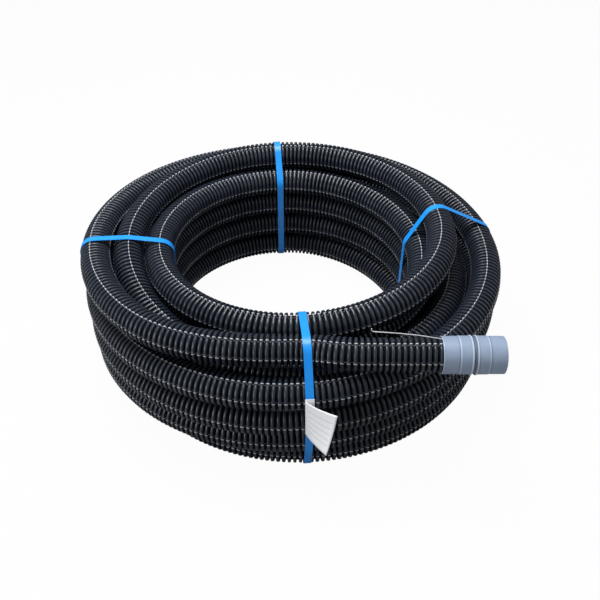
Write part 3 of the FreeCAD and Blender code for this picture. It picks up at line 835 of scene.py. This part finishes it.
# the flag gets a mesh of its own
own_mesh(flag)


# the same sheet's wrap: over the strap's upright run and on over the top tube
wrapSizes = {
    "runLow": (0.3630, 0.1340), "runHigh": (0.3605, 0.1797), "runOutward": (0.9988, 0.0488), "runSteps": 6,
    "tube": (0.3348, 0.1782), "tubeRadius": 0.0260, "swingFrom": 2.8, "overTop": 29.0, "swingSteps": 12,
    "halfWidth": 0.0065, "clear": 0.00035, "tuck": 0.0009, "thickness": 0.00025,
}


def labelWrap():
    # the path is in the strap's own plane: distance from the axis, height and the way outward
    z = wrapSizes
    a = math.radians(labelSizes["azimuth"])
    along = Vector((math.cos(a), math.sin(a), 0))
    radial = Vector((math.sin(a), -math.cos(a), 0))
    path = []
    for k in range(z["runSteps"] + 1):
        share = k / z["runSteps"]
        u, w = (low + (high - low) * share for low, high in zip(z["runLow"], z["runHigh"]))
        path.append((u, w, Vector(z["runOutward"])))
    for k in range(1, z["swingSteps"] + 1):
        swing = math.radians(z["swingFrom"] + (z["overTop"] - z["swingFrom"]) * k / z["swingSteps"])
        outward = Vector((math.cos(swing), math.sin(swing)))
        path.append((z["tube"][0] + z["tubeRadius"] * outward.x, z["tube"][1] + z["tubeRadius"] * outward.y,
                     outward))
    across = [(-z["halfWidth"], -z["tuck"]), (-z["halfWidth"], z["clear"]), (z["halfWidth"], z["clear"]),
              (z["halfWidth"], -z["tuck"])]
    vertices = [tuple(radial * (u + outward.x * off) + Vector((0, 0, w + outward.y * off)) + along * sideways)
                for u, w, outward in path for sideways, off in across]
    mesh = bpy.data.meshes.new("labelWrap")
    mesh.from_pydata(vertices, [], gridFaces(len(path) - 1, len(across) - 1))
    mesh.uv_layers.new(name="sheet")             # the paper's look reads a map of this name
    smooth(mesh, 40)
    return paperPiece("labelWrap", mesh, z["thickness"])


wrap = labelWrap()
wrap.data.materials.append(paperMaterial)
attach(wrap, "coil")
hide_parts("label_wrap")
print("label is folded")


# draw wire's tail: from under the coupling's rim, back along the hose, its tip hooked up
wireSizes = {"diameter": 0.0015, "exit": (0.2152, -0.3041, 0.2579), "resolution": 6, "roundness": 3}
wirePoints = [
    (0.2152, -0.3041, 0.2579), (0.2095, -0.3040, 0.2589), (0.2033, -0.3037, 0.2603), (0.1890, -0.3024, 0.2619),
    (0.1732, -0.3010, 0.2633), (0.1580, -0.2999, 0.2643), (0.1433, -0.2990, 0.2650), (0.1290, -0.2981, 0.2655),
    (0.1185, -0.2976, 0.2659), (0.1162, -0.2974, 0.2676), (0.1160, -0.2973, 0.2700), (0.1162, -0.2972, 0.2712)]
wire = splineObject("drawWire", wirePoints, wireSizes["resolution"])
wire.data.bevel_depth = wireSizes["diameter"] / 2
wire.data.bevel_resolution = wireSizes["roundness"]
wire.data.use_fill_caps = True
wireMaterial, *_ = plasticMaterial(
    "wirePlastic", srgb(206, 208, 212), srgb(120, 122, 126), dustAmount=0.2, roughness=0.35,
    grainScale=2000.0, variation=0.1, bump=0.00002)
wire.data.materials.append(wireMaterial)
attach(wire, "coil")
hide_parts("draw_wire")


# camera at the photograph's view: 600 x 600, 725 pixels of focal length
viewSizes = {"place": (0.016, -1.049, 0.952), "down": 39.9, "lens": 43.5, "sensor": 36.0}
cameraData = bpy.data.cameras.new("camera")
cameraData.lens = viewSizes["lens"]
cameraData.sensor_width = viewSizes["sensor"]
camera = bpy.data.objects.new("camera", cameraData)
camera.location = viewSizes["place"]
camera.rotation_euler = (math.radians(90 - viewSizes["down"]), 0, 0)
bpy.context.scene.collection.objects.link(camera)
bpy.context.scene.camera = camera

# floor and soft light: the camera sees both as white, and the light from them is dimmer
studio = {
    "worldStrength": 0.21, "worldSeen": 1.0,
    "floorSize": 12, "floorTone": 0.35, "floorRoughness": 0.9, "floorSeen": 1.02, "floorShare": 0.95,
}


def seenAs(tree, usual, seen, share, target):
    # the camera's own rays get the second shader, by the given share
    rays = tree.nodes.new("ShaderNodeLightPath")
    either = tree.nodes.new("ShaderNodeMixShader")
    link(tree, mathNode(tree, "MULTIPLY", rays.outputs["Is Camera Ray"], share), either.inputs[0])
    link(tree, usual.outputs[0], either.inputs[1])
    link(tree, seen.outputs[0], either.inputs[2])
    link(tree, either.outputs[0], target)


world = bpy.data.worlds.new("studio")
bpy.context.scene.world = world
world.use_nodes = True
worldTree = world.node_tree
backdrop, seenWorld = worldTree.nodes["Background"], worldTree.nodes.new("ShaderNodeBackground")
for node, strength in ((backdrop, studio["worldStrength"]), (seenWorld, studio["worldSeen"])):
    node.inputs["Color"].default_value = (1, 1, 1, 1)
    node.inputs["Strength"].default_value = strength
seenAs(worldTree, backdrop, seenWorld, 1.0, worldTree.nodes["World Output"].inputs[0])

bpy.ops.mesh.primitive_plane_add(size=studio["floorSize"], location=(0, 0, 0))
floor = bpy.context.object
floor.name = "floor"
floorMaterial = bpy.data.materials.new("paleFloor")
floorMaterial.use_nodes = True
floorTree = floorMaterial.node_tree
floorShader = floorTree.nodes["Principled BSDF"]
floorShader.inputs["Base Color"].default_value = (studio["floorTone"],) * 3 + (1,)
floorShader.inputs["Roughness"].default_value = studio["floorRoughness"]
glow = floorTree.nodes.new("ShaderNodeEmission")
glow.inputs["Strength"].default_value = studio["floorSeen"]
seenAs(floorTree, floorShader, glow, studio["floorShare"], floorTree.nodes["Material Output"].inputs[0])
floor.data.materials.append(floorMaterial)

lampAim = (0, 0, 0.12)
lamps = [
    # name, place, size, watts
    ("topLamp", (-0.3, 0.2, 1.9), 1.1, 43.0),
    ("frontLamp", (-1.7, -1.3, 0.95), 1.0, 17.0),
    ("rightLamp", (1.9, -0.4, 1.3), 1.0, 5.0)]
for name, place, size, watts in lamps:
    data = bpy.data.lights.new(name, "AREA")
    data.shape = "SQUARE"
    data.size = size
    data.energy = watts
    lamp = bpy.data.objects.new(name, data)
    lamp.location = place
    lamp.rotation_euler = (Vector(lampAim) - Vector(place)).to_track_quat("-Z", "Y").to_euler()
    bpy.context.scene.collection.objects.link(lamp)
bpy.context.scene.view_settings.view_transform = "Standard"
print("camera, floor and lamps are ready")
